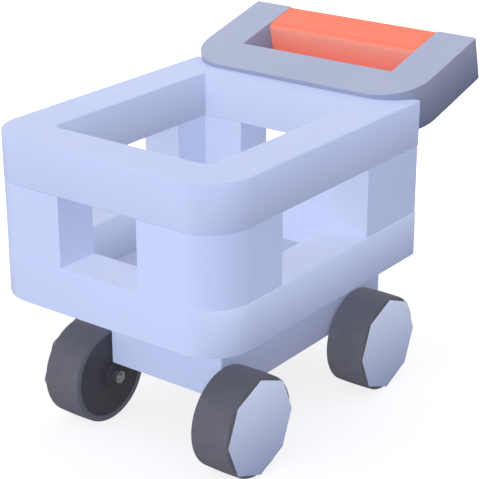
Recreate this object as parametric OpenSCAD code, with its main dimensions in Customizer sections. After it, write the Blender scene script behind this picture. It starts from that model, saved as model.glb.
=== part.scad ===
// Shopping cart: sheet-steel basket on a box chassis, four plain wheels and a tilted handle frame.
// Millimetres. +Z is up, the cart rolls towards -Y, and the origin is on the ground under its middle.

/* [Basket] */
// Width over the rails
basket_w = 600; // [540:5:700]
// Length over the rails
basket_l = 692; // [640:2:800]
// Height of the upper and of the lower rail
rail_h = 100; // [70:2:120]
// Thickness of the rails from outside to inside
rail_t = 100; // [80:2:110]
// Radius of the outer front corners
front_corner_r = 95; // [30:5:120]
// Radius of the outer rear corners
rear_corner_r = 4; // [3:1:12]
// Radius of the inner front corners
inner_corner_r = 20; // [8:2:40]
// Radius of the inner rear corners
inner_rear_r = 3; // [2:1:10]
// Height of the windows between the rails
window_h = 150; // [100:5:220]
// Width of the front and rear windows
end_window_w = 200; // [120:10:240]
// Length of the side windows
side_window_l = 300; // [200:10:340]
// How far the corner posts stand back from the rail faces
post_set_in = 1; // [0.5:0.5:5]
// Thickness of the floor sheet
floor_t = 2; // [1.5:0.5:5]

/* [Sheet steel] */
// Wall of the rails, posts, chassis and handle frame
sheet = 1; // [0.8:0.1:2]
// Radius of the drain holes
drain_r = 4; // [3:0.5:6]

/* [Chassis] */
// Width of the chassis box
chassis_w = 300; // [260:5:340]
// Length of the chassis box
chassis_l = 600; // [540:5:700]
// Height of the chassis box
chassis_h = 199; // [150:1:240]
// Distance of the chassis front behind the basket front
chassis_setback = 195; // [150:5:240]
// Radius of the folded chassis corners
chassis_corner_r = 4; // [3:0.5:10]
// Depth of the outrigger arms at the chassis
outrigger_h = 86; // [60:2:110]
// Width of an outrigger arm along the cart
outrigger_w = 60; // [50:2:80]
// Thickness of the outrigger and hanger plates
plate_t = 4; // [3:0.5:6]

/* [Wheels] */
// Rolling radius
wheel_r = 110; // [90:2:130]
// Width of a wheel with its hub plate
wheel_w = 96; // [70:2:110]
// Running gap between the chassis side and the tyre
wheel_gap = 4; // [3:0.5:8]
// Thickness of the tyre tread
tread_t = 14; // [10:1:25]
// Radius of the tyre shoulders
shoulder_r = 4; // [2:0.5:8]
// Height of the chassis floor above the wheel centres
axle_drop = 30; // [28:1:40]
// Distance of the rear wheel centres ahead of the chassis rear
rear_axle_inset = 114; // [110:1:150]
// Journal radius of the stub axles
axle_r = 10; // [8:0.5:12]
// Radial wall of the wheel bushes
bush_t = 4; // [3:0.5:6]
// Radial running clearance on the journals
running_gap = 0.05; // [0.02:0.01:0.1]
// Thickness of the octagonal hub plate
hub_plate_t = 4; // [3:0.5:6]

/* [Handle] */
// How far each side of the handle frame stands in from the basket's side
handle_inset = 2; // [0:1:20]
// Length of the handle frame along its slope
handle_l = 302; // [260:2:340]
// Thickness of the handle frame
handle_t = 99; // [70:1:110]
// Slope of the handle frame in degrees
handle_tilt = 14.6; // [8:0.1:22]
// Depth of the front cross bar along the slope
front_bar = 104; // [90:2:120]
// Width of the side arms
arm_w = 98; // [70:2:110]
// Radius of the front corners of the frame
handle_corner_r = 104; // [40:2:120]
// Radius of the rear corners of the frame
handle_rear_r = 4; // [3:0.5:8]
// Distance of the frame's front edge ahead of the basket's rear face
handle_overlap = 58; // [40:2:70]
// Height of the frame's front edge above the rim
handle_rise = 10; // [8:1:16]
// Depth of the grip sleeve along the slope
grip_d = 94; // [70:2:110]
// Height of the grip sleeve
grip_h = 92; // [60:2:94]
// Wall of the moulded grip
grip_wall = 4; // [3:0.5:6]
// How far the grip lies below the frame's upper face
grip_drop = 0.5; // [0:0.5:4]
// Radius of the grip's front edges
grip_front_r = 14; // [8:1:30]
// Radius of the grip's rear edges
grip_rear_r = 6; // [4:1:20]
// Radius of the steel tube inside the grip
grip_rod_r = 19; // [14:0.5:24]

/* [Fasteners] */
// Thread radius of the bolts
bolt_r = 4; // [3:0.5:5]
// Height of a bolt head
bolt_head_h = 5; // [4:0.5:7]
// Height of a nut
nut_h = 6.5; // [5:0.5:8]

/* [Hidden] */
$fn = 64;
bolt_hole_r = bolt_r + 0.2;
hex_r = bolt_r * 1.875;
seat_gap = 0.3;

ground_to_axle = wheel_r;
chassis_z = ground_to_axle + axle_drop;
basket_z = chassis_z + chassis_h;
lower_top_z = basket_z + rail_h;
upper_z = lower_top_z + window_h;
rim_z = upper_z + rail_h;

post_out_l = (basket_l - side_window_l) / 2;
inner_w = basket_w - 2 * rail_t;
inner_l = basket_l - 2 * rail_t;

handle_w = basket_w - 2 * handle_inset;
handle_y = basket_l - handle_overlap;
handle_z = rim_z + handle_rise;
overall_l = handle_y + handle_l * cos(handle_tilt) + handle_t * sin(handle_tilt);
arm_in_x = handle_w / 2 - arm_w;
grip_mid = [handle_l - grip_d / 2, -grip_drop - grip_h / 2];
rod_wall = 2.5;
rod_gap = 0.1;
rod_end = 12;

wheel_rows = [chassis_setback, chassis_setback + chassis_l - rear_axle_inset];
wheel_in_x = chassis_w / 2 + wheel_gap;
wheel_out_x = wheel_in_x + wheel_w;
tyre_out_x = wheel_out_x - hub_plate_t;
tyre_in_r = wheel_r - tread_t;
core_set_in = 2;
core_in_x = wheel_in_x + core_set_in;
core_wall = 8;
plug_gap = 0.1;
core_ribs = 6;
press_gap = 0.02;
bush_r = axle_r + bush_t;
bush_flange = [wheel_in_x - 1, wheel_in_x + 0.5];
hub_wall = 10;
hub_r = bush_r + hub_wall;
hub_recess = 16;
hub_out_x = tyre_out_x - hub_recess;
hub_octagon_r = wheel_r - 1.5;
spigot_l = 12;

cheek_t = 2 * plate_t;
cheek_out_x = chassis_w / 2 - 2;
cheek_in_x = cheek_out_x - cheek_t;
hanger_in_x = cheek_in_x - 42;
hanger_y = [5, 95];
hanger_l = hanger_y[1] - hanger_y[0];
flange_t = 6;
boss_r = 26;
hanger_bolt_x = [cheek_in_x - 30, cheek_in_x - 12];
hanger_bolt_y = [25, 75];
stub_r = axle_r - 2;
collar_r = axle_r + 6;
axle_nut_h = 14;
axle_nut_r = 15;
end_stub_r = axle_r - 3;
end_nut_h = 8;
end_nut_r = 12;
washer_t = 2;
washer_r = bush_r + 1;

outrigger_rows = [chassis_setback + 65, basket_l - rail_t + 20];
outrigger_tip_x = basket_w / 2 - 10;
arm_bolt_dy = outrigger_w * 0.3;
arm_bolt_dz = 62;
basket_bolt_x = basket_w / 2 - 38;
pan_lip = 20;
member_t = 3;
member_h = 40;

stay_x = basket_w / 2 - rail_t;
stay_w = 50;
stay_t = 6;
stay_h = 215;
stay_web_h = 160;
stay_web_l = 54;
stay_web_tip_h = 75;
stay_bolt_dx = 15;
stay_post_bolts = [130, 190];
stay_v = [(handle_overlap + stay_t / 2 - handle_t * sin(handle_tilt)) / cos(handle_tilt), front_bar - 6];
stay_bolt_v = stay_v[1] - 24;

coat = "#c3cdf2";
floor_blue = "#9fa8ca";
slate = "#a4acc6";
coral = "#fb866e";
rubber = "#5c5c66";
dark = "#4a4a52";
steel = "#a9acb2";

// ---- shared shapes ----

// Everything below is drawn with y = 0 at the basket front, then centred on the cart's length.
module cart() {
    translate([0, -overall_l / 2, 0]) children();
}

// Corner radius r after its face has moved inwards by i, never quite sharp.
function fold_r(r, i) = max(r - i, 1);

// Rounded outline, centred in x, from y = 0 to y = l.
module plan(w, l, front_r, rear_r) {
    for (s = [-1, 1]) {
        translate([s * (w / 2 - front_r), front_r]) circle(front_r);
        translate([s * (w / 2 - rear_r), l - rear_r]) circle(rear_r);
    }
    translate([-w / 2 + front_r, 0]) square([w - 2 * front_r, front_r]);
    translate([-w / 2, front_r]) square([w, l - front_r - rear_r]);
    translate([-w / 2 + rear_r, l - rear_r]) square([w - 2 * rear_r, rear_r]);
}

// Inside of the basket seen from above, grown by g on every side.
module opening_plan(g) {
    translate([0, rail_t - g])
        plan(inner_w + 2 * g, inner_l + 2 * g, inner_corner_r + g, inner_rear_r + g);
}

// Ring between the basket's outer and inner faces, each face moved inwards by i.
module ring_plan(i) {
    difference() {
        translate([0, i])
            plan(basket_w - 2 * i, basket_l - 2 * i, front_corner_r - i, fold_r(rear_corner_r, i));
        opening_plan(i);
    }
}

// L-shaped section of one corner post; along is -1 at the front and 1 at the rear.
module post_plan(along, i) {
    x0 = end_window_w / 2 + i - post_set_in;
    y0 = along < 0 ? -1 : basket_l - post_out_l + i - post_set_in;
    intersection() {
        ring_plan(i);
        translate([x0, y0]) square([basket_w, post_out_l + 1 - i + post_set_in]);
    }
}

// Hexagon bolt along +z, its head's seat at z = 0.
module bolt(l) {
    translate([0, 0, -bolt_head_h]) cylinder(r = hex_r, h = bolt_head_h, $fn = 6);
    cylinder(r = bolt_r, h = l);
}

module nut(r, h, hole_r) {
    difference() {
        cylinder(r = r, h = h, $fn = 6);
        translate([0, 0, -1]) cylinder(r = hole_r, h = h + 2);
    }
}

// Frame of the handle: y runs up the slope and z = 0 is its upper face.
module on_handle() {
    translate([0, handle_y, handle_z]) rotate([handle_tilt, 0, 0]) children();
}

// Frame of one wheel: x points outwards and the origin is on the wheel's axis.
module at_wheel(side, row) {
    translate([0, wheel_rows[row], ground_to_axle]) mirror([side < 0 ? 1 : 0, 0, 0]) children();
}

// Turned along x from x = a to x = b.
module rod_x(r, a, b) {
    translate([a, 0, 0]) rotate([0, 90, 0]) cylinder(r = r, h = b - a);
}

// ---- basket ----

// One rail: a box section with drain holes in its underside.
module rail(z, drains) {
    translate([0, 0, z]) difference() {
        linear_extrude(rail_h) ring_plan(0);
        translate([0, 0, sheet]) linear_extrude(rail_h - 2 * sheet) ring_plan(sheet);
        for (p = drains) translate([p[0], p[1], -1]) cylinder(r = p[2], h = sheet + 2);
    }
}

drain_sites = [
    [0, rail_t / 2, drain_r],
    [-(basket_w - rail_t) / 2, basket_l / 2, drain_r],
    [(basket_w - rail_t) / 2, basket_l / 2, drain_r]];
basket_bolt_sites = [
    for (y = outrigger_rows) for (s = [-1, 1]) for (d = [-1, 1])
        [s * basket_bolt_x, y + d * arm_bolt_dy, bolt_hole_r]];

module upper_rail() {
    color(coat) rail(upper_z, concat(drain_sites, [[0, basket_l - rail_t / 2, drain_r]]));
}

module lower_rail() {
    color(coat) rail(basket_z, concat(drain_sites, basket_bolt_sites));
}

module post(side, along) {
    color(coat) translate([0, 0, lower_top_z]) mirror([side < 0 ? 1 : 0, 0, 0]) difference() {
        linear_extrude(window_h) post_plan(along, post_set_in);
        translate([0, 0, -1]) linear_extrude(window_h + 2) post_plan(along, post_set_in + sheet);
        if (along > 0) translate([0, 0, -lower_top_z]) post_bolt_sites() through_hole();
    }
}

module floor_panel() {
    g = -seat_gap;
    color(floor_blue) translate([0, 0, basket_z]) linear_extrude(floor_t) opening_plan(g);
}

// ---- chassis ----

module chassis_plan(i) {
    r = fold_r(chassis_corner_r, i);
    translate([0, i]) plan(chassis_w - 2 * i, chassis_l - 2 * i, r, r);
}

// Folded top and four walls, open below.
module chassis_shell() {
    color(coat) difference() {
        translate([0, chassis_setback, chassis_z]) difference() {
            linear_extrude(chassis_h) chassis_plan(0);
            translate([0, 0, -1]) linear_extrude(chassis_h - sheet + 1) chassis_plan(sheet);
        }
        for (y = outrigger_rows) arm_bolt_sites(y) through_hole();
    }
}

// Tray that closes the chassis from below, with a lip turned up inside the walls.
module chassis_pan() {
    g = sheet + seat_gap;
    color(dark) difference() {
        translate([0, chassis_setback, chassis_z]) difference() {
            linear_extrude(pan_lip) chassis_plan(g);
            translate([0, 0, sheet]) linear_extrude(pan_lip) chassis_plan(g + sheet);
        }
        hanger_bolt_sites() through_hole();
    }
}

// Channel across the pan that the hangers bolt up into.
module crossmember(row) {
    w = chassis_w - 4 * sheet - 4 * seat_gap;
    y0 = wheel_rows[row] + hanger_y[0];
    color(dark) difference() {
        translate([-w / 2, y0, chassis_z + sheet]) difference() {
            cube([w, hanger_l, member_h]);
            translate([-1, member_t, member_t]) cube([w + 2, hanger_l - 2 * member_t, member_h]);
        }
        hanger_bolt_sites() through_hole();
    }
}

// Bracket on the chassis side that carries the basket and its floor.
module outrigger(side, row) {
    y = outrigger_rows[row];
    root_x = chassis_w / 2;
    web_x = root_x + plate_t;
    web_top = basket_z - plate_t;
    web_foot = basket_z - outrigger_h;
    color(coat) difference() {
        mirror([side < 0 ? 1 : 0, 0, 0]) {
            translate([root_x, y - outrigger_w / 2, web_top])
                cube([outrigger_tip_x - root_x, outrigger_w, plate_t]);
            translate([root_x, y - outrigger_w / 2, web_foot])
                cube([plate_t, outrigger_w, outrigger_h]);
            translate([0, y + plate_t / 2, 0]) rotate([90, 0, 0]) linear_extrude(plate_t)
                polygon([
                    [web_x - 1, web_top + 1],
                    [outrigger_tip_x - 5, web_top + 1],
                    [outrigger_tip_x - 5, web_top - 6],
                    [web_x, web_foot],
                    [web_x - 1, web_foot]]);
        }
        arm_bolt_sites(y) through_hole();
        basket_bolt_places() through_hole();
    }
}

// ---- wheels and their hangers ----

// Tangent point on a circle of radius r about the origin, seen from point p, on its lower side.
function tangent_point(r, p) =
    let (a = atan2(p[1], p[0]) - acos(r / norm(p)))
    [r * cos(a), r * sin(a)];

// Forged bracket bolted under the chassis; its cheek holds the stub axle.
module hanger(side, row) {
    tail = [hanger_y[1], axle_drop - flange_t];
    color(dark) difference() {
        at_wheel(side, row) difference() {
            union() {
                translate([hanger_in_x, hanger_y[0], axle_drop - flange_t])
                    cube([cheek_in_x - hanger_in_x + 1, hanger_l, flange_t]);
                translate([cheek_in_x, 0, 0]) rotate([90, 0, 90]) linear_extrude(cheek_t) {
                    circle(boss_r);
                    polygon([
                        [0, 0],
                        tangent_point(boss_r, tail),
                        tail,
                        [hanger_y[1], axle_drop],
                        [hanger_y[0], axle_drop],
                        [0, boss_r]]);
                }
            }
            rod_x(stub_r + press_gap, cheek_in_x - 1, cheek_out_x + 1);
        }
        hanger_bolt_sites() through_hole();
    }
}

// Turned stub axle: threaded inner end, collar, journal and threaded outer end.
module axle(side, row) {
    color(steel) at_wheel(side, row) {
        rod_x(stub_r, cheek_in_x - axle_nut_h - 3, cheek_out_x + 1);
        rod_x(collar_r, cheek_out_x, bush_flange[0] - seat_gap);
        rod_x(axle_r, cheek_out_x + 1, hub_out_x + seat_gap);
        rod_x(end_stub_r, hub_out_x, hub_out_x + seat_gap + washer_t + end_nut_h + 2);
    }
}

module axle_nuts() {
    color(steel) for (row = [0, 1]) for (side = [-1, 1]) at_wheel(side, row)
        translate([cheek_in_x, 0, 0]) rotate([0, -90, 0]) nut(axle_nut_r, axle_nut_h, stub_r + press_gap);
}

// Nuts with a fixed washer that keep the wheels on.
module axle_end_nuts() {
    color(steel) for (row = [0, 1]) for (side = [-1, 1]) at_wheel(side, row)
        translate([hub_out_x + seat_gap, 0, 0]) rotate([0, 90, 0]) difference() {
            union() {
                cylinder(r = washer_r, h = washer_t);
                cylinder(r = end_nut_r, h = washer_t + end_nut_h, $fn = 6);
            }
            translate([0, 0, -1]) cylinder(r = end_stub_r + press_gap, h = washer_t + end_nut_h + 2);
        }
}

// Flanged plain bearing pressed into the wheel core.
module bush(side, row) {
    color(steel) at_wheel(side, row) difference() {
        union() {
            rod_x(bush_r, bush_flange[0], hub_out_x);
            rod_x(bush_r + 3, bush_flange[0], bush_flange[1]);
        }
        rod_x(axle_r + running_gap, bush_flange[0] - 1, hub_out_x + 1);
    }
}

// Moulded wheel: hub tube, closed inner disc, rim and ribs between them.
module core(side, row) {
    rim_in_r = tyre_in_r - core_wall;
    color(dark) at_wheel(side, row) difference() {
        union() {
            difference() {
                rod_x(tyre_in_r, core_in_x, tyre_out_x);
                rod_x(rim_in_r, core_in_x + core_wall, tyre_out_x + 1);
            }
            rod_x(hub_r, bush_flange[1], hub_out_x);
            for (k = [0 : core_ribs - 1]) rotate([k * 360 / core_ribs, 0, 0])
                translate([core_in_x + 1, bush_r + 2, -core_wall / 4])
                    cube([hub_out_x - core_in_x - 1, rim_in_r + 2 - bush_r - 2, core_wall / 2]);
        }
        rod_x(bush_r + press_gap, core_in_x - 5, tyre_out_x + 1);
    }
}

// Solid rubber tread with rounded shoulders.
module tyre(side, row) {
    w = tyre_out_x - wheel_in_x;
    color(rubber) at_wheel(side, row) translate([wheel_in_x, 0, 0]) rotate([0, 90, 0]) rotate_extrude() {
        translate([tyre_in_r + press_gap, 0]) square([tread_t - press_gap - shoulder_r, w]);
        translate([wheel_r - shoulder_r - 1, shoulder_r]) square([shoulder_r + 1, w - 2 * shoulder_r]);
        for (h = [shoulder_r, w - shoulder_r]) translate([wheel_r - shoulder_r, h]) circle(shoulder_r);
    }
}

// Eight-sided cover of the wheel's outer face, with a ring that plugs into the rim.
module hub_plate(side, row) {
    plug_r = tyre_in_r - core_wall - plug_gap;
    color(coat) at_wheel(side, row) {
        translate([tyre_out_x, 0, 0]) rotate([0, 90, 0]) cylinder(r = hub_octagon_r, h = hub_plate_t, $fn = 8);
        difference() {
            rod_x(plug_r, tyre_out_x - spigot_l, tyre_out_x + 1);
            rod_x(plug_r - hub_plate_t, tyre_out_x - spigot_l - 1, tyre_out_x);
        }
    }
}

// ---- handle ----

// Plan of the handle frame with every face moved inwards by i: a cross bar and two arms.
module handle_plan(i) {
    difference() {
        translate([0, i])
            plan(handle_w - 2 * i, handle_l - 2 * i, handle_corner_r - i, fold_r(handle_rear_r, i));
        translate([-arm_in_x - i, front_bar - i]) square([2 * (arm_in_x + i), handle_l]);
    }
}

module handle_block(i) {
    on_handle() translate([0, 0, -handle_t + i]) linear_extrude(handle_t - 2 * i) handle_plan(i);
}

// The step cut in the frame's underside that sits over the rear rail.
module saddle(i) {
    translate([-basket_w, 0, 0]) cube([2 * basket_w, basket_l + seat_gap + i, rim_z + i]);
}

module handle_frame() {
    color(slate) difference() {
        handle_block(0);
        saddle(0);
        difference() {
            handle_block(sheet);
            saddle(sheet);
        }
        on_handle() translate([0, grip_mid[0], grip_mid[1]])
            rod_x(grip_rod_r + rod_gap, -arm_in_x - sheet - 1, arm_in_x + sheet + 1);
        bar_bolt_sites() through_hole();
    }
}

// Welded bracket behind a rear post that carries the handle frame.
module stay(side) {
    y1 = basket_l + stay_t;
    color(slate) difference() {
        mirror([side < 0 ? 1 : 0, 0, 0]) difference() {
            union() {
                translate([stay_x - stay_w / 2, basket_l - post_set_in, rim_z - stay_h])
                    cube([stay_w, stay_t + post_set_in, stay_h - rail_h - seat_gap]);
                translate([stay_x - stay_w / 2, basket_l + seat_gap, rim_z - rail_h - 1])
                    cube([stay_w, stay_t - seat_gap, rail_h]);
                on_handle() translate([stay_x - stay_w / 2, stay_v[0], -handle_t - stay_t])
                    cube([stay_w, stay_v[1] - stay_v[0], stay_t]);
                translate([stay_x - stay_t / 2, 0, 0]) rotate([90, 0, 90]) linear_extrude(stay_t)
                    polygon([
                        [y1 - 1, rim_z - stay_web_h],
                        [y1 - 1, rim_z],
                        [y1 + stay_web_l, rim_z],
                        [y1 + stay_web_l, rim_z - stay_web_tip_h]]);
            }
            on_handle() translate([-basket_w, -handle_l, -handle_t])
                cube([2 * basket_w, 3 * handle_l, 4 * handle_t]);
        }
        post_bolt_sites() through_hole();
        bar_bolt_sites() through_hole();
    }
}

// Steel tube from arm to arm that carries the grip.
module grip_rod() {
    l = arm_in_x + rod_end;
    color(steel) on_handle() translate([0, grip_mid[0], grip_mid[1]]) difference() {
        rod_x(grip_rod_r, -l, l);
        rod_x(grip_rod_r - rod_wall, -l - 1, l + 1);
    }
}

// Section of the grip, every face moved inwards by i.
module grip_plan(i) {
    translate([0, handle_l - grip_d + i])
        plan(grip_h - 2 * i, grip_d - 2 * i, fold_r(grip_front_r, i), fold_r(grip_rear_r, i));
}

// Moulded sleeve, hollow between the ribs that sit on the rod.
module grip_sleeve() {
    half = arm_in_x - seat_gap;
    color(coral) on_handle() difference() {
        translate([0, 0, grip_mid[1]]) rotate([0, 90, 0]) {
            translate([0, 0, -half]) linear_extrude(2 * half) difference() {
                grip_plan(0);
                grip_plan(grip_wall);
            }
            for (k = [-2 : 2]) translate([0, 0, k * (half - 10) / 2 - grip_wall / 2])
                linear_extrude(grip_wall) grip_plan(grip_wall / 2);
        }
        translate([0, grip_mid[0], grip_mid[1]]) rod_x(grip_rod_r + press_gap, -half - 1, half + 1);
    }
}

// ---- fasteners ----

// Each site puts its children on the bolt head's seat, z pointing along the bolt.
module arm_bolt_sites(y) {
    for (s = [-1, 1]) for (d = [-1, 1])
        translate([s * (chassis_w / 2 + plate_t), y + d * arm_bolt_dy, basket_z - arm_bolt_dz])
            rotate([0, -s * 90, 0]) children();
}

module basket_bolt_places() {
    for (p = basket_bolt_sites) translate([p[0], p[1], basket_z - plate_t]) children();
}

module hanger_bolt_sites() {
    for (y0 = wheel_rows) for (s = [-1, 1]) for (x = hanger_bolt_x) for (y = hanger_bolt_y)
        translate([s * x, y0 + y, chassis_z - flange_t]) children();
}

module post_bolt_sites() {
    for (s = [-1, 1]) for (d = [-1, 1]) for (h = stay_post_bolts)
        translate([s * stay_x + d * stay_bolt_dx, basket_l + stay_t, rim_z - h]) rotate([90, 0, 0]) children();
}

module bar_bolt_sites() {
    on_handle() for (s = [-1, 1]) for (d = [-1, 1])
        translate([s * stay_x + d * stay_bolt_dx, stay_bolt_v, -handle_t - stay_t]) children();
}

module through_hole() {
    translate([0, 0, -1]) cylinder(r = bolt_hole_r, h = 20);
}

arm_grip = plate_t + sheet;
hanger_grip = flange_t + sheet + member_t;
post_grip = stay_t + post_set_in + sheet;
bar_grip = stay_t + sheet;

module bolt_for(grip) {
    bolt(grip + nut_h + 3);
}

module nut_for(grip) {
    translate([0, 0, grip]) nut(hex_r, nut_h, bolt_r + press_gap);
}

module outrigger_bolts() {
    color(steel) for (y = outrigger_rows) arm_bolt_sites(y) bolt_for(arm_grip);
}

module outrigger_nuts() {
    color(steel) for (y = outrigger_rows) arm_bolt_sites(y) nut_for(arm_grip);
}

module basket_bolts() {
    color(steel) basket_bolt_places() bolt_for(arm_grip);
}

module basket_nuts() {
    color(steel) basket_bolt_places() nut_for(arm_grip);
}

module hanger_bolts() {
    color(steel) hanger_bolt_sites() bolt_for(hanger_grip);
}

module hanger_nuts() {
    color(steel) hanger_bolt_sites() nut_for(hanger_grip);
}

module stay_bolts() {
    color(steel) {
        post_bolt_sites() bolt_for(post_grip);
        bar_bolt_sites() bolt_for(bar_grip);
    }
}

module stay_nuts() {
    color(steel) {
        post_bolt_sites() nut_for(post_grip);
        bar_bolt_sites() nut_for(bar_grip);
    }
}

cart() upper_rail();
cart() lower_rail();
cart() post(1, -1);  // post_front_left
cart() post(-1, -1);  // post_front_right
cart() post(1, 1);  // post_rear_left
cart() post(-1, 1);  // post_rear_right
cart() floor_panel();
cart() chassis_shell();
cart() chassis_pan();
cart() crossmember(0);  // crossmember_front
cart() crossmember(1);  // crossmember_rear
cart() outrigger(1, 0);  // outrigger_front_left
cart() outrigger(-1, 0);  // outrigger_front_right
cart() outrigger(1, 1);  // outrigger_rear_left
cart() outrigger(-1, 1);  // outrigger_rear_right
cart() hanger(1, 0);  // hanger_front_left
cart() hanger(-1, 0);  // hanger_front_right
cart() hanger(1, 1);  // hanger_rear_left
cart() hanger(-1, 1);  // hanger_rear_right
cart() axle(1, 0);  // axle_front_left
cart() axle(-1, 0);  // axle_front_right
cart() axle(1, 1);  // axle_rear_left
cart() axle(-1, 1);  // axle_rear_right
cart() tyre(1, 0);  // tyre_front_left
cart() tyre(-1, 0);  // tyre_front_right
cart() tyre(1, 1);  // tyre_rear_left
cart() tyre(-1, 1);  // tyre_rear_right
cart() core(1, 0);  // core_front_left
cart() core(-1, 0);  // core_front_right
cart() core(1, 1);  // core_rear_left
cart() core(-1, 1);  // core_rear_right
cart() bush(1, 0);  // bush_front_left
cart() bush(-1, 0);  // bush_front_right
cart() bush(1, 1);  // bush_rear_left
cart() bush(-1, 1);  // bush_rear_right
cart() hub_plate(1, 0);  // hub_plate_front_left
cart() hub_plate(-1, 0);  // hub_plate_front_right
cart() hub_plate(1, 1);  // hub_plate_rear_left
cart() hub_plate(-1, 1);  // hub_plate_rear_right
cart() axle_nuts();
cart() axle_end_nuts();
cart() hanger_bolts();
cart() hanger_nuts();
cart() outrigger_bolts();
cart() outrigger_nuts();
cart() basket_bolts();
cart() basket_nuts();
cart() handle_frame();
cart() stay(1);  // stay_left
cart() stay(-1);  // stay_right
cart() stay_bolts();
cart() stay_nuts();
cart() grip_rod();
cart() grip_sleeve();
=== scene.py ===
# Shopping cart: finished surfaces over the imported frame, in metres.
import math

import bmesh
import bpy
from mathutils import Matrix, Vector


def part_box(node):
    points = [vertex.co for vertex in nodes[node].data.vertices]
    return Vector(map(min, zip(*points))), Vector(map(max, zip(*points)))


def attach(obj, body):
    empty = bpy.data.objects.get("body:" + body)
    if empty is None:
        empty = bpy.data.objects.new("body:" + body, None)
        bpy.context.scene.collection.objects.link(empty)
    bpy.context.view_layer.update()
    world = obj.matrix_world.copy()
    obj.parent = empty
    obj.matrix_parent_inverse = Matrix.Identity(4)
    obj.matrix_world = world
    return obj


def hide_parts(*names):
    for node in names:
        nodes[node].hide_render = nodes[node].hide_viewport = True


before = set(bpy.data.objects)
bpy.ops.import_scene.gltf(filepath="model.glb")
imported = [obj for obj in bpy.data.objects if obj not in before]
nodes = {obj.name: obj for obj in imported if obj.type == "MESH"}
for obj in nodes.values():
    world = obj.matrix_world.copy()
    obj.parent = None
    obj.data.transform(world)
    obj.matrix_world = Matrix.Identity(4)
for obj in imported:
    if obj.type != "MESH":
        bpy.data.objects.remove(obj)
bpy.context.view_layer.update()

cart = "cart"
corners = ["front_left", "front_right", "rear_left", "rear_right"]
print("frame loaded:", len(nodes), "nodes")


cameraSet = {
    "place": (1.8398, -2.4526, 1.6106),
    "azimuth": 37.09,
    "elevation": 22.02,
    "roll": -0.143,
    "lens": 113.32,
    "sensor": 36.0,
    "clipEnd": 60.0,
}


def makeCamera(s):
    data = bpy.data.cameras.new("camera")
    data.lens = s["lens"]
    data.sensor_width = s["sensor"]
    data.clip_end = s["clipEnd"]
    cam = bpy.data.objects.new("camera", data)
    bpy.context.scene.collection.objects.link(cam)
    around = Matrix.Rotation(math.radians(s["azimuth"]), 4, "Z")
    down = Matrix.Rotation(math.radians(90 - s["elevation"]), 4, "X")
    roll = Matrix.Rotation(math.radians(s["roll"]), 4, "Z")
    cam.matrix_world = Matrix.Translation(s["place"]) @ (around @ down) @ roll
    bpy.context.scene.camera = cam


makeCamera(cameraSet)
print("camera placed")


# Directions and heights that several pieces share.
upward = Vector((0, 0, 1))
sideways = Vector((1, 0, 0))
handleSlope = math.radians(14.6)
handleUp = Vector((0, -math.sin(handleSlope), math.cos(handleSlope)))
handleTop = max(handleUp.dot(v.co) for v in nodes["handle_frame"].data.vertices)
rimLow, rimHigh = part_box("upper_rail")
mergeDistance = 1e-6


def startMaterial(name):
    mat = bpy.data.materials.new(name)
    mat.use_nodes = True
    tree = mat.node_tree
    place = tree.nodes.new("ShaderNodeTexCoord").outputs["Object"]
    return mat, tree, tree.nodes["Principled BSDF"], place


def feed(tree, socket, value):
    if isinstance(value, (int, float)):
        socket.default_value = value
    elif isinstance(value, (tuple, Vector)):
        socket.default_value = tuple(value) + (1.0,) * (len(socket.default_value) - len(value))
    else:
        tree.links.new(value, socket)


faded = (0.3, 0.7)       # noise values between which a pattern comes in


def noiseOf(tree, place, scale, detail=3.0, roughness=0.55):
    noise = tree.nodes.new("ShaderNodeTexNoise")
    noise.inputs["Scale"].default_value = scale
    noise.inputs["Detail"].default_value = detail
    noise.inputs["Roughness"].default_value = roughness
    tree.links.new(place, noise.inputs["Vector"])
    return noise.outputs["Fac"]


def rangeOf(tree, value, low, high, outLow, outHigh):
    node = tree.nodes.new("ShaderNodeMapRange")
    for name, number in (("From Min", low), ("From Max", high), ("To Min", outLow), ("To Max", outHigh)):
        node.inputs[name].default_value = number
    tree.links.new(value, node.inputs["Value"])
    return node.outputs["Result"]


def maths(tree, kind, a, b):
    node = tree.nodes.new("ShaderNodeMath")
    node.operation = kind
    feed(tree, node.inputs[0], a)
    feed(tree, node.inputs[1], b)
    return node.outputs["Value"]


def vectorMaths(tree, kind, a, b=None):
    node = tree.nodes.new("ShaderNodeVectorMath")
    node.operation = kind
    feed(tree, node.inputs[0], a)
    if b is not None:
        feed(tree, node.inputs[1], b)
    return node.outputs["Value" if kind in ("DOT_PRODUCT", "LENGTH") else "Vector"]


def mixColour(tree, factor, a, b, blend="MIX"):
    node = tree.nodes.new("ShaderNodeMix")
    node.data_type = "RGBA"
    node.blend_type = blend
    feed(tree, node.inputs["Factor"], factor)
    feed(tree, node.inputs[6], a)
    feed(tree, node.inputs[7], b)
    return node.outputs[2]


def greyOf(tree, value):
    node = tree.nodes.new("ShaderNodeCombineColor")
    for socket in node.inputs:
        tree.links.new(value, socket)
    return node.outputs["Color"]


def bumpOf(tree, shader, height, strength, distance):
    bump = tree.nodes.new("ShaderNodeBump")
    bump.inputs["Strength"].default_value = strength
    bump.inputs["Distance"].default_value = distance
    tree.links.new(height, bump.inputs["Height"])
    tree.links.new(bump.outputs["Normal"], shader.inputs["Normal"])


def facingOf(tree, direction):
    # how squarely a face looks along a direction, from 0 to 1 on either side
    normal = tree.nodes.new("ShaderNodeNewGeometry").outputs["Normal"]
    return maths(tree, "ABSOLUTE", vectorMaths(tree, "DOT_PRODUCT", normal, direction), 0.0)


# Facings between which a coat turns from its front tone to its side tone; the side tone is painted light
# and shade.
turning = {
    "upright": (0.25, 0.97),
    "handle": (0.35, 0.85),
}
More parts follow.
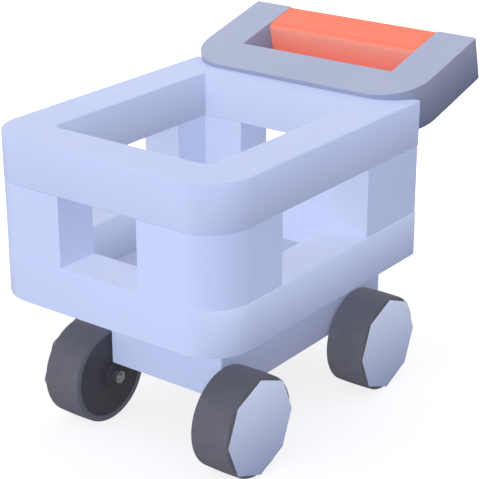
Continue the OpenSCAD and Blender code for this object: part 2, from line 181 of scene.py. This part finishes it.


# A coat has up to four tones: "top" and "foot" run down its front and top faces,
# "sideTop" and "sideFoot" down its side faces. The foot and side tones are painted light and shade:
# faces darken towards the foot, and the sides take a lit and a shaded tone of their own.
def tonedColour(tree, place, s):
    up = s.get("up", upward)
    rise = rangeOf(tree, vectorMaths(tree, "DOT_PRODUCT", place, up), *s.get("span", (0.0, 1.0)), 0.0, 1.0)
    # painted shade: front and top faces darken towards the foot
    plain = mixColour(tree, rise, s.get("foot", s["top"]), s["top"])
    if "sideTop" not in s:
        return plain
    # painted light and shade down the side faces
    side = mixColour(tree, rise, s.get("sideFoot", s["sideTop"]), s["sideTop"])
    if "up" in s:
        aside = rangeOf(tree, facingOf(tree, up), *turning["handle"], 1.0, 0.0)
    else:
        aside = rangeOf(tree, facingOf(tree, sideways), *turning["upright"], 0.0, 1.0)
    return mixColour(tree, aside, plain, side)


# Faces inside the basket wall are painted a touch warmer than the outer skin, and duller on the long
# sides, to cancel the bluish light bounced about inside (painted light correction and painted shade);
# the rim's flat top counts as skin.
insideSet = {
    "planRadius": 0.095,            # of the basket's corners
    "depth": (0.0045, 0.0015),      # below the skin: fully tinted, and not at all
    "drop": (0.003, 0.001),         # below the rim, in the same way
    "facing": (0.3, 0.9),           # between which the long sides' painted shade comes in
}


def innerTint(tree, place, colour, tint, sideTint, s):
    radius, half = s["planRadius"], (rimHigh - rimLow) / 2
    middle = (rimLow + rimHigh) / 2
    centred = vectorMaths(tree, "SUBTRACT", place, Vector((middle.x, middle.y, 0)))
    fromMiddle = vectorMaths(tree, "ABSOLUTE", centred)
    # the large third number leaves height out of the distance
    past = vectorMaths(tree, "SUBTRACT", fromMiddle, Vector((half.x - radius, half.y - radius, 10.0)))
    corner = vectorMaths(tree, "LENGTH", vectorMaths(tree, "MAXIMUM", past, Vector((0, 0, 0))))
    deep = rangeOf(tree, corner, *(radius - d for d in s["depth"]), 1.0, 0.0)
    height = vectorMaths(tree, "DOT_PRODUCT", place, upward)
    below = rangeOf(tree, height, *(rimHigh.z - d for d in s["drop"]), 1.0, 0.0)
    aside = rangeOf(tree, facingOf(tree, sideways), *s["facing"], 0.0, 1.0)
    # painted light correction: inside faces warmed, long sides darkened as painted shade
    tinted = mixColour(tree, 1.0, colour, mixColour(tree, aside, tint, sideTint), "MULTIPLY")
    return mixColour(tree, maths(tree, "MULTIPLY", deep, below), colour, tinted)


# Powder coat: toned faces that paint light and shade (darker foot, lit and shaded sides), slow drift, fine
# specks, dust that settles on flat tops, and orange peel.
def coatMaterial(name, s):
    mat, tree, shader, place = startMaterial(name)
    colour = tonedColour(tree, place, s)
    if "inner" in s:
        colour = innerTint(tree, place, colour, s["inner"], s["innerSide"], insideSet)
    if "rimColour" in s:
        outward = rangeOf(tree, facingOf(tree, sideways), *s["rimFacing"], 0.0, 1.0)
        colour = mixColour(tree, outward, s["rimColour"], colour)
    drift = noiseOf(tree, place, s["driftScale"])
    drift = rangeOf(tree, drift, *faded, 1.0 - s["drift"], 1.0 + s["drift"] * 0.4)
    colour = mixColour(tree, 1.0, colour, greyOf(tree, drift), "MULTIPLY")
    speck = noiseOf(tree, place, s["speckScale"], 4.0, 0.7)
    speck = rangeOf(tree, speck, *s["speckRange"], 0.0, s["speck"])
    colour = mixColour(tree, speck, colour, s["speckColour"])
    flat = rangeOf(tree, facingOf(tree, upward), 0.5, 1.0, 0.0, 1.0)
    settled = noiseOf(tree, place, s["dustScale"], 5.0, 0.65)
    settled = rangeOf(tree, settled, *s["dustRange"], 0.0, s["dust"])
    colour = mixColour(tree, maths(tree, "MULTIPLY", flat, settled), colour, s["dustColour"])
    tree.links.new(colour, shader.inputs["Base Color"])
    rough = noiseOf(tree, place, s["sheenScale"], 4.0)
    rough = rangeOf(tree, rough, *faded, s["roughness"] - 0.06, s["roughness"] + 0.08)
    tree.links.new(rough, shader.inputs["Roughness"])
    shader.inputs["Specular IOR Level"].default_value = s["specular"]
    bumpOf(tree, shader, noiseOf(tree, place, s["peelScale"], 2.0, 0.5), s["peel"], s["peelDepth"])
    return mat


coat = {
    "top": (0.560, 0.628, 0.905),
    "drift": 0.03,
    "driftScale": 2.2,
    "speck": 0.10,
    "speckScale": 160.0,
    "speckRange": (0.60, 0.78),
    "speckColour": (0.42, 0.47, 0.68),
    "dust": 0.08,
    "dustScale": 9.0,
    "dustRange": (0.35, 0.75),
    "dustColour": (0.70, 0.71, 0.78),
    "roughness": 0.50,
    "sheenScale": 14.0,
    "specular": 0.28,
    "peelScale": 420.0,
    "peel": 0.10,
    "peelDepth": 0.0006,
}


def spanOf(node):
    low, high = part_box(node)
    return low.z, high.z


def coatWith(**changes):
    return {**coat, **changes}


# inside faces painted warmer, and darker on the long sides, against the light bounced about inside
warmInside = {"inner": (1.06, 1.02, 0.91), "innerSide": (0.91, 0.89, 0.78)}
# Rails and posts: painted shade darkens the foot, and the side faces are painted in lit and shaded tones;
# the posts' sides are painted darker all over.
upperCoat = coatMaterial("upper_coat", coatWith(
    span=spanOf("upper_rail"), foot=(0.515, 0.577, 0.830),
    sideTop=(0.606, 0.674, 0.999), sideFoot=(0.437, 0.483, 0.715), **warmInside))
lowerCoat = coatMaterial("lower_coat", coatWith(
    span=spanOf("lower_rail"), foot=(0.540, 0.605, 0.872),
    sideTop=(0.652, 0.724, 0.999), sideFoot=(0.403, 0.448, 0.672), **warmInside))
postCoat = coatMaterial("post_coat", coatWith(
    sideTop=(0.522, 0.592, 0.875), inner=(1.02, 0.98, 0.86), innerSide=(0.99, 0.97, 0.86)))
# The chassis is painted lighter than the basket, as painted light against the shade beneath it, with
# painted shade towards its foot and on its sides.
chassisCoat = coatMaterial("chassis_coat", coatWith(
    span=spanOf("chassis_shell"), top=(0.625, 0.695, 0.985), foot=(0.535, 0.600, 0.865),
    sideTop=(0.510, 0.585, 0.825), sideFoot=(0.362, 0.385, 0.562)))
# Hub plates: painted light at the top and painted shade towards the foot, which turn with the wheel; their
# rims take the tyre's colour.
hubCoat = coatMaterial("hub_coat", coatWith(
    span=spanOf("hub_plate_front_left"), top=(0.722, 0.778, 0.999), foot=(0.315, 0.360, 0.552),
    rimColour=(0.118, 0.118, 0.146), rimFacing=(0.6, 0.9), speck=0.16, dust=0.0))
# The floor panel is a darker grey-blue, deepened to stand in for the shade on the basket floor: partly its
# own paint, partly painted shade.
floorCoat = coatMaterial("floor_coat", coatWith(top=(0.390, 0.424, 0.560), roughness=0.60, drift=0.02))
handleDepth = 0.099      # height of the frame's side faces, square to its top
# The handle frame's side faces are painted much darker than its top, darkest towards their foot: painted
# shade.
slateCoat = coatMaterial("slate_coat", coatWith(
    up=handleUp, span=(handleTop - handleDepth, handleTop),
    top=(0.415, 0.452, 0.622), speckColour=(0.30, 0.33, 0.44),
    sideTop=(0.300, 0.325, 0.455), sideFoot=(0.135, 0.155, 0.255)))
darkCoat = coatMaterial("dark_coat", coatWith(
    top=(0.045, 0.043, 0.055), speckColour=(0.09, 0.09, 0.10), dustColour=(0.15, 0.15, 0.16),
    roughness=0.6))


# Moulded rubber and resin: dull bloom in patches, fine grain and a matt skin; toned faces paint light and
# shade where the tones differ.
def rubberMaterial(name, s):
    mat, tree, shader, place = startMaterial(name)
    bloom = noiseOf(tree, place, s["bloomScale"], 6.0, 0.7)
    bloom = rangeOf(tree, bloom, *s["bloomRange"], 0.0, s["bloom"])
    colour = mixColour(tree, bloom, tonedColour(tree, place, s), s["bloomColour"])
    mottle = rangeOf(tree, noiseOf(tree, place, s["mottleScale"], 2.0), 0.35, 0.7, *s["mottle"])
    colour = mixColour(tree, 1.0, colour, greyOf(tree, mottle), "MULTIPLY")
    tree.links.new(colour, shader.inputs["Base Color"])
    rough = noiseOf(tree, place, s["sheenScale"])
    rough = rangeOf(tree, rough, *faded, s["roughness"] - 0.08, s["roughness"] + 0.06)
    tree.links.new(rough, shader.inputs["Roughness"])
    shader.inputs["Specular IOR Level"].default_value = s["specular"]
    bumpOf(tree, shader, noiseOf(tree, place, s["grainScale"], 4.0, 0.6), s["grain"], s["grainDepth"])
    return mat


rubber = {
    "top": (0.118, 0.118, 0.146),
    "bloom": 0.35,
    "bloomScale": 22.0,
    "bloomRange": (0.38, 0.70),
    "bloomColour": (0.17, 0.17, 0.19),
    "mottle": (0.95, 1.04),
    "mottleScale": 300.0,
    "roughness": 0.80,
    "sheenScale": 30.0,
    "specular": 0.30,
    "grainScale": 260.0,
    "grain": 0.25,
    "grainDepth": 0.0006,
}
tyreRubber = rubberMaterial("tyre_rubber", rubber)
coreResin = rubberMaterial("wheel_core", {
    **rubber,
    "top": (0.050, 0.048, 0.060),
    "bloomColour": (0.08, 0.08, 0.09),
    "roughness": 0.6,
    "grain": 0.12,
})
gripShade = (0.092, 0.008)      # below the handle's top: where the grip's painted shade is deepest, and its painted highlight palest
# The grip's front and end faces are painted with a highlight near their top edge and painted shade, deeper
# red, towards their foot.
coralGrip = rubberMaterial("coral_grip", {
    **rubber,
    "up": handleUp,
    "span": tuple(handleTop - drop for drop in gripShade),
    "top": (0.975, 0.222, 0.136),
    "sideTop": (0.999, 0.330, 0.240),
    "sideFoot": (0.999, 0.112, 0.062),
    "bloom": 0.10,
    "bloomColour": (0.93, 0.36, 0.27),
    "roughness": 0.55,
    "specular": 0.4,
    "grainScale": 700.0,
    "grain": 0.15,
})


# Bare and plated metal: cloudy tone, fine scratches in the gloss and a faint grain.
def metalMaterial(name, s):
    mat, tree, shader, place = startMaterial(name)
    tone = noiseOf(tree, place, s["toneScale"], 4.0, 0.6)
    tone = rangeOf(tree, tone, *faded, *s["tone"])
    colour = mixColour(tree, 1.0, s["colour"], greyOf(tree, tone), "MULTIPLY")
    tree.links.new(colour, shader.inputs["Base Color"])
    rough = noiseOf(tree, place, s["sheenScale"], 2.0)
    rough = rangeOf(tree, rough, *faded, s["roughness"] - 0.08, s["roughness"] + 0.1)
    tree.links.new(rough, shader.inputs["Roughness"])
    shader.inputs["Metallic"].default_value = 1.0
    bumpOf(tree, shader, noiseOf(tree, place, s["grainScale"], 2.0), s["grain"], s["grainDepth"])
    return mat


metal = {
    "colour": (0.60, 0.61, 0.63),
    "tone": (0.86, 1.04),
    "toneScale": 60.0,
    "roughness": 0.36,
    "sheenScale": 240.0,
    "grainScale": 500.0,
    "grain": 0.12,
    "grainDepth": 0.0003,
}
zincSteel = metalMaterial("zinc_steel", metal)
bronze = metalMaterial("bronze", {**metal, "colour": (0.50, 0.33, 0.17), "roughness": 0.42})
print("coats, rubbers and metals mixed")


def toMesh(name, bm):
    bmesh.ops.recalc_face_normals(bm, faces=bm.faces)
    mesh = bpy.data.meshes.new(name)
    bm.to_mesh(mesh)
    bm.free()
    obj = bpy.data.objects.new(name, mesh)
    bpy.context.scene.collection.objects.link(obj)
    return obj


def applyModifiers(obj):
    graph = bpy.context.evaluated_depsgraph_get()
    graph.update()
    mesh = bpy.data.meshes.new_from_object(obj.evaluated_get(graph), depsgraph=graph)
    obj.modifiers.clear()
    obj.data = mesh


def bevelEdges(bm, edges, radius, segments):
    bmesh.ops.bevel(bm, geom=edges, offset=radius, segments=segments, profile=0.5,
                    affect="EDGES", material=-1)


def finishPiece(obj, material, body, replaced, sharp=32):
    mesh = obj.data
    mesh.materials.clear()
    mesh.materials.append(material)
    mesh.shade_smooth()
    mesh.set_sharp_from_angle(angle=math.radians(sharp))
    flat = obj.modifiers.new("flat_faces", "WEIGHTED_NORMAL")
    flat.keep_sharp = True
    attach(obj, body)
    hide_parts(*replaced)


def uprightAt(bm, x, y):
    # the vertical edge that stands nearest to (x, y)
    upright = [e for e in bm.edges if abs(e.verts[0].co.z - e.verts[1].co.z) > 1e-4]
    return min(upright, key=lambda e: (Vector((x, y)) - e.verts[0].co.xy).length)


def cornerBox(bm, low, high, frontRadius, rearRadius, steps, rearSteps):
    made = bmesh.ops.create_cube(bm, size=1.0)["verts"]
    bmesh.ops.scale(bm, verts=made, vec=high - low)
    bmesh.ops.translate(bm, verts=made, vec=(low + high) / 2)
    bevelEdges(bm, [uprightAt(bm, x, low.y) for x in (low.x, high.x)], frontRadius, steps)
    bevelEdges(bm, [uprightAt(bm, x, high.y) for x in (low.x, high.x)], rearRadius, rearSteps)


def rimEdges(bm, halfWidth, front, rear):
    # edges between a flat end and an upright wall, no further out than the given plan
    bm.normal_update()
    found = []
    for edge in bm.edges:
        outside = any(abs(v.co.x) > halfWidth or not front < v.co.y < rear for v in edge.verts)
        if outside or len(edge.link_faces) != 2:
            continue
        a, b = (abs(face.normal.z) for face in edge.link_faces)
        if abs(a - b) > 0.5:
            found.append(edge)
    return found


# The two rails of the basket: a box with round front corners, its mouth and its drain holes cut out.
rails = {
    "wall": 0.100,
    "frontRadius": 0.095,
    "rearRadius": 0.004,
    "mouthFrontRadius": 0.020,
    "mouthRearRadius": 0.003,
    "cornerSteps": 14,
    "mouthSteps": 7,
    "rearSteps": 5,
    "outerRound": 0.0025,
    "outerRoundSteps": 4,
    "mouthRound": 0.002,
    "mouthRoundSteps": 3,
    "drainRadius": 0.004,
    "drainDepth": 0.030,
    "drainSides": 24,
    "overcut": 0.01,
}


def railCutter(low, high, s, drains):
    past = Vector((0, 0, s["overcut"]))
    wall = Vector((s["wall"], s["wall"], 0))
    bm = bmesh.new()
    cornerBox(bm, low + wall - past, high - wall + past, s["mouthFrontRadius"], s["mouthRearRadius"],
              s["mouthSteps"], s["rearSteps"])
    for x, y in drains:
        hole = bmesh.ops.create_cone(bm, cap_ends=True, segments=s["drainSides"], radius1=s["drainRadius"],
                                     radius2=s["drainRadius"], depth=2 * s["drainDepth"])
        bmesh.ops.translate(bm, verts=hole["verts"], vec=(x, y, low.z))
    return toMesh("rail_cutter", bm)


def makeRail(node, material, s, drains):
    low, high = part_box(node)
    bm = bmesh.new()
    cornerBox(bm, low, high, s["frontRadius"], s["rearRadius"], s["cornerSteps"], s["rearSteps"])
    bevelEdges(bm, rimEdges(bm, high.x + 1, low.y - 1, high.y + 1), s["outerRound"], s["outerRoundSteps"])
    rail = toMesh(node + "_finish", bm)
    cutter = railCutter(low, high, s, drains)
    cut = rail.modifiers.new("mouth", "BOOLEAN")
    cut.object = cutter
    cut.solver = "EXACT"
    applyModifiers(rail)
    bpy.data.objects.remove(cutter)
    bm = bmesh.new()
    bm.from_mesh(rail.data)
    near = s["wall"] - 0.001      # a hair outside the mouth
    mouth = rimEdges(bm, high.x - near, low.y + near, high.y - near)
    bevelEdges(bm, mouth, s["mouthRound"], s["mouthRoundSteps"])
    bm.to_mesh(rail.data)
    bm.free()
    finishPiece(rail, material, cart, [node])
    print(node, "cut and rounded,", len(mouth), "mouth edges")


sideDrain = rimHigh.x - rails["wall"] / 2
frontDrain, rearDrain = rimLow.y + rails["wall"] / 2, rimHigh.y - rails["wall"] / 2
middleDrain = (rimLow.y + rimHigh.y) / 2
drainSites = [(0, frontDrain), (-sideDrain, middleDrain), (sideDrain, middleDrain)]
makeRail("upper_rail", upperCoat, rails, drainSites + [(0, rearDrain)])
makeRail("lower_rail", lowerCoat, rails, drainSites)


# The four posts: an L in plan, drawn up from its outline, with the corner and the jambs rounded.
posts = {
    "outerRadius": 0.093,
    "outerSteps": 14,
    "innerRadius": 0.022,
    "innerSteps": 8,
    "rearSteps": 4,
    "jambRadius": 0.001,
    "jambSteps": 3,
}


def raiseOutline(bm, outline, low, high):
    face = bm.faces.new([bm.verts.new((x, y, low)) for x, y in outline])
    made = bmesh.ops.extrude_face_region(bm, geom=[face])["geom"]
    lifted = [g for g in made if isinstance(g, bmesh.types.BMVert)]
    bmesh.ops.translate(bm, verts=lifted, vec=(0, 0, high - low))
    bmesh.ops.recalc_face_normals(bm, faces=bm.faces)


def makePost(node, s):
    low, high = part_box(node)
    left, front = "left" in node, "front" in node
    setIn = rimHigh.x - max(abs(low.x), abs(high.x))
    xOut, xJamb = (high.x, low.x) if left else (low.x, high.x)
    yOut, yJamb = (low.y, high.y) if front else (high.y, low.y)
    inward = rails["wall"] - setIn
    xIn = rimHigh.x - inward if left else rimLow.x + inward
    yIn = rimLow.y + inward if front else rimHigh.y - inward
    bm = bmesh.new()
    outline = [(xJamb, yOut), (xOut, yOut), (xOut, yJamb), (xIn, yJamb), (xIn, yIn), (xJamb, yIn)]
    raiseOutline(bm, outline, low.z, high.z)
    if front:
        bevelEdges(bm, [uprightAt(bm, xOut, yOut)], s["outerRadius"], s["outerSteps"])
        bevelEdges(bm, [uprightAt(bm, xIn, yIn)], s["innerRadius"], s["innerSteps"])
    else:
        bevelEdges(bm, [uprightAt(bm, xOut, yOut)], rails["rearRadius"], s["rearSteps"])
    for x, y in ((xJamb, yOut), (xOut, yJamb), (xIn, yJamb), (xJamb, yIn)):
        bevelEdges(bm, [uprightAt(bm, x, y)], s["jambRadius"], s["jambSteps"])
    finishPiece(toMesh(node + "_finish", bm), postCoat, cart, [node])


for corner in corners:
    makePost("post_" + corner, posts)
print("posts raised")


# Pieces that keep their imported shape: a merged copy with softened edges.
softEdges = {
    "sheet": 0.0005,
    "bracket": 0.0012,
    "cheek": 0.0015,
    "fastener": 0.0004,
    "resin": 0.0008,
    "hubPlate": 0.0010,
    "handle": 0.0020,
    "none": 0.0,
}
flatAngle = math.radians(1.0)       # flatter joins are melted into one face
softAngle = math.radians(40)        # sharper edges are softened


def softCopy(node, material, body, edge):
    bm = bmesh.new()
    bm.from_mesh(nodes[node].data)
    bmesh.ops.remove_doubles(bm, verts=bm.verts, dist=mergeDistance)
    bmesh.ops.dissolve_limit(bm, angle_limit=flatAngle, verts=bm.verts, edges=bm.edges)
    obj = toMesh(node + "_finish", bm)
    if softEdges[edge]:
        bevel = obj.modifiers.new("soft", "BEVEL")
        bevel.width = softEdges[edge]
        bevel.segments = 3 if edge == "handle" else 2
        bevel.limit_method = "ANGLE"
        bevel.angle_limit = softAngle
        applyModifiers(obj)
    finishPiece(obj, material, body, [node])


softCopy("floor_panel", floorCoat, cart, "sheet")
softCopy("chassis_shell", chassisCoat, cart, "sheet")
softCopy("handle_frame", slateCoat, cart, "handle")
softCopy("grip_rod", zincSteel, cart, "none")
for node in ("chassis_pan", "crossmember_front", "crossmember_rear"):
    softCopy(node, darkCoat, cart, "sheet")
for side in ("left", "right"):
    softCopy("stay_" + side, slateCoat, cart, "bracket")
for group in ("hanger", "outrigger", "basket", "stay"):
    for kind in ("bolts", "nuts"):
        softCopy(group + "_" + kind, zincSteel, cart, "fastener")
for node in ("axle_nuts", "axle_end_nuts"):
    softCopy(node, zincSteel, cart, "fastener")
for corner in corners:
    wheel = "wheel_" + corner
    softCopy("outrigger_" + corner, postCoat, cart, "bracket")
    softCopy("hanger_" + corner, darkCoat, cart, "cheek")
    softCopy("axle_" + corner, zincSteel, cart, "none")
    softCopy("bush_" + corner, bronze, wheel, "none")
    softCopy("core_" + corner, coreResin, wheel, "resin")
    softCopy("hub_plate_" + corner, hubCoat, wheel, "hubPlate")
print("kept shapes softened")


# Solid tyres: a low-crowned section spun round the axle, then its shoulders and bore edges rounded.
tyres = {
    "bore": 0.096,
    "crown": 0.0010,
    "shoulder": 0.004,
    "shoulderSteps": 5,
    "boreEdge": 0.0008,
    "boreSteps": 2,
    "turns": 128,
}


def ringEdges(bm, centre, across, radius):
    # the circular edges at a distance across from the middle, at one radius
    def onRing(v):
        rest = v.co - centre
        return abs(abs(rest.x) - across) < 1e-5 and abs(rest.yz.length - radius) < 1e-4

    def crosswise(e):
        return abs(e.verts[0].co.x - e.verts[1].co.x) > 1e-5

    return [e for e in bm.edges if all(map(onRing, e.verts)) and not crosswise(e)]


def makeTyre(corner, s):
    low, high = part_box("tyre_" + corner)
    centre = (low + high) / 2
    radius, half = (high.z - low.z) / 2, (high.x - low.x) / 2
    edge, quarter = radius - s["crown"], radius - s["crown"] / 4
    section = [(-half, s["bore"]), (half, s["bore"]), (half, edge), (half / 2, quarter),
               (0, radius), (-half / 2, quarter), (-half, edge)]
    bm = bmesh.new()
    ring = [bm.verts.new(centre + Vector((across, 0, out))) for across, out in section]
    edges = [bm.edges.new((ring[k - 1], ring[k])) for k in range(len(ring))]
    bmesh.ops.spin(bm, geom=ring + edges, cent=centre, axis=(1, 0, 0), angle=math.tau,
                   steps=s["turns"], use_merge=True)
    bmesh.ops.remove_doubles(bm, verts=bm.verts, dist=mergeDistance)
    bmesh.ops.recalc_face_normals(bm, faces=bm.faces)
    bevelEdges(bm, ringEdges(bm, centre, half, edge), s["shoulder"], s["shoulderSteps"])
    bevelEdges(bm, ringEdges(bm, centre, half, s["bore"]), s["boreEdge"], s["boreSteps"])
    tyre = toMesh("tyre_%s_finish" % corner, bm)
    finishPiece(tyre, tyreRubber, "wheel_" + corner, ["tyre_" + corner])


for corner in corners:
    makeTyre(corner, tyres)
print("tyres spun")


# The grip: a soft-edged block that lies flush between the handle's arms.
grips = {
    "depth": 0.094,
    "height": 0.092,
    "drop": 0.0005,
    "frontRadius": 0.014,
    "frontSteps": 8,
    "rearRadius": 0.006,
    "rearSteps": 5,
    "endRadius": 0.0015,
    "endSteps": 3,
}


def longEdges(bm, atFront):
    # edges that run from end to end; the rear ones lie at y = 0 before the grip is tilted
    long = [e for e in bm.edges if abs(e.verts[0].co.x - e.verts[1].co.x) > 0.1]
    return [e for e in long if (e.verts[0].co.y < -0.01) == atFront]


def makeGrip(s):
    low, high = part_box("grip_sleeve")
    alongSlope = Vector((0, math.cos(handleSlope), math.sin(handleSlope)))
    upAndBack = alongSlope + handleUp
    rearTop = max((v.co for v in nodes["handle_frame"].data.vertices), key=upAndBack.dot)
    bm = bmesh.new()
    bmesh.ops.create_cube(bm, size=1.0)
    bmesh.ops.scale(bm, verts=bm.verts, vec=(high.x - low.x, s["depth"], s["height"]))
    bmesh.ops.translate(bm, verts=bm.verts, vec=(0, -s["depth"] / 2, -s["height"] / 2 - s["drop"]))
    bevelEdges(bm, longEdges(bm, True), s["frontRadius"], s["frontSteps"])
    bevelEdges(bm, longEdges(bm, False), s["rearRadius"], s["rearSteps"])
    ends = [e for e in bm.edges if abs(e.verts[0].co.x - e.verts[1].co.x) < 1e-6]
    bevelEdges(bm, ends, s["endRadius"], s["endSteps"])
    bmesh.ops.rotate(bm, verts=bm.verts, cent=(0, 0, 0), matrix=Matrix.Rotation(handleSlope, 3, "X"))
    bmesh.ops.translate(bm, verts=bm.verts, vec=(0, rearTop.y, rearTop.z))
    finishPiece(toMesh("grip_sleeve_finish", bm), coralGrip, cart, ["grip_sleeve"])


makeGrip(grips)
print("grip made")


# The floor takes the cart's shadow and fades to white a little way out.
floorSet = {
    "size": 120.0,
    "colour": (0.40, 0.40, 0.41, 1),
    "glow": (0.62, 1.0),
    "fade": (0.7, 1.7),
}


def makeFloor(s):
    bm = bmesh.new()
    bmesh.ops.create_grid(bm, x_segments=1, y_segments=1, size=s["size"] / 2)
    obj = toMesh("studio_floor", bm)
    mat = bpy.data.materials.new("studio_floor")
    mat.use_nodes = True
    tree = mat.node_tree
    out = tree.nodes["Material Output"]
    tree.nodes.remove(tree.nodes["Principled BSDF"])
    diffuse = tree.nodes.new("ShaderNodeBsdfDiffuse")
    diffuse.inputs["Color"].default_value = s["colour"]
    glow = tree.nodes.new("ShaderNodeEmission")
    ray = tree.nodes.new("ShaderNodeLightPath")
    place = tree.nodes.new("ShaderNodeNewGeometry").outputs["Position"]
    fade = rangeOf(tree, vectorMaths(tree, "LENGTH", place), *s["fade"], *s["glow"])
    lift = maths(tree, "MULTIPLY", ray.outputs["Is Camera Ray"], fade)
    tree.links.new(lift, glow.inputs["Strength"])
    both = tree.nodes.new("ShaderNodeAddShader")
    tree.links.new(diffuse.outputs["BSDF"], both.inputs[0])
    tree.links.new(glow.outputs["Emission"], both.inputs[1])
    tree.links.new(both.outputs["Shader"], out.inputs["Surface"])
    obj.data.materials.append(mat)


# The world lights at "strength" and is seen, mirrored and looked through at "seen".
worldSet = {"strength": 0.46, "seen": 1.0}


def makeWorld(s):
    world = bpy.data.worlds.new("studio")
    bpy.context.scene.world = world
    world.use_nodes = True
    tree = world.node_tree
    background = tree.nodes["Background"]
    background.inputs["Color"].default_value = (1.0, 1.0, 1.0, 1)
    ray = tree.nodes.new("ShaderNodeLightPath")
    bounced = maths(tree, "MAXIMUM", ray.outputs["Is Glossy Ray"], ray.outputs["Is Transmission Ray"])
    direct = maths(tree, "MAXIMUM", ray.outputs["Is Camera Ray"], bounced)
    lift = maths(tree, "MULTIPLY_ADD", direct, s["seen"] - s["strength"])
    lift.node.inputs[2].default_value = s["strength"]
    tree.links.new(lift, background.inputs["Strength"])


# Lamps stand on a sphere round the cart; the fill lamps cast no shadow, so the underside stays readable.
lampSet = {
    "reach": 6.0,
    "aim": (0.0, 0.0, 0.35),
    "keySize": 2.6,
    "fillSize": 2.0,
    # azimuth, elevation, level, whether it casts a shadow, how cool its light is
    "lamps": {
        "key": (-8, 48, 0.105, True, 0.0),
        "right_low": (30, -14, 0.258, False, 0.075),
        "right_front": (30, 5, 0.221, False, 0.075),
        "left_front": (-60, 20, 0.350, False, 0.0),
        "right_rear": (150, 20, 0.172, False, 0.075),
        "rear_high": (180, 40, 0.222, False, 0.0),
        "left_rear": (-120, 40, 0.090, False, 0.0),
        "right_high": (120, 62, 0.133, False, 0.075),
    },
}


def makeLamp(name, s):
    azimuth, elevation, level, shadow, cool = s["lamps"][name]
    data = bpy.data.lights.new(name, "AREA")
    data.energy = level * (math.pi * s["reach"]) ** 2      # a level of 1 shows a colour as it is written
    data.size = s["keySize"] if shadow else s["fillSize"]
    data.use_shadow = shadow
    data.color = (1.0 - cool, 1.0 - cool / 2, 1.0)
    lamp = bpy.data.objects.new(name, data)
    lamp.visible_glossy = shadow
    bpy.context.scene.collection.objects.link(lamp)
    a, e = math.radians(azimuth), math.radians(elevation)
    away = Vector((math.sin(a) * math.cos(e), -math.cos(a) * math.cos(e), math.sin(e)))
    lamp.location = Vector(s["aim"]) + away * s["reach"]
    lamp.rotation_euler = (-away).to_track_quat("-Z", "Y").to_euler()


makeFloor(floorSet)
makeWorld(worldSet)
for name in lampSet["lamps"]:
    makeLamp(name, lampSet)
bpy.context.scene.view_settings.view_transform = "Standard"
print("studio made")
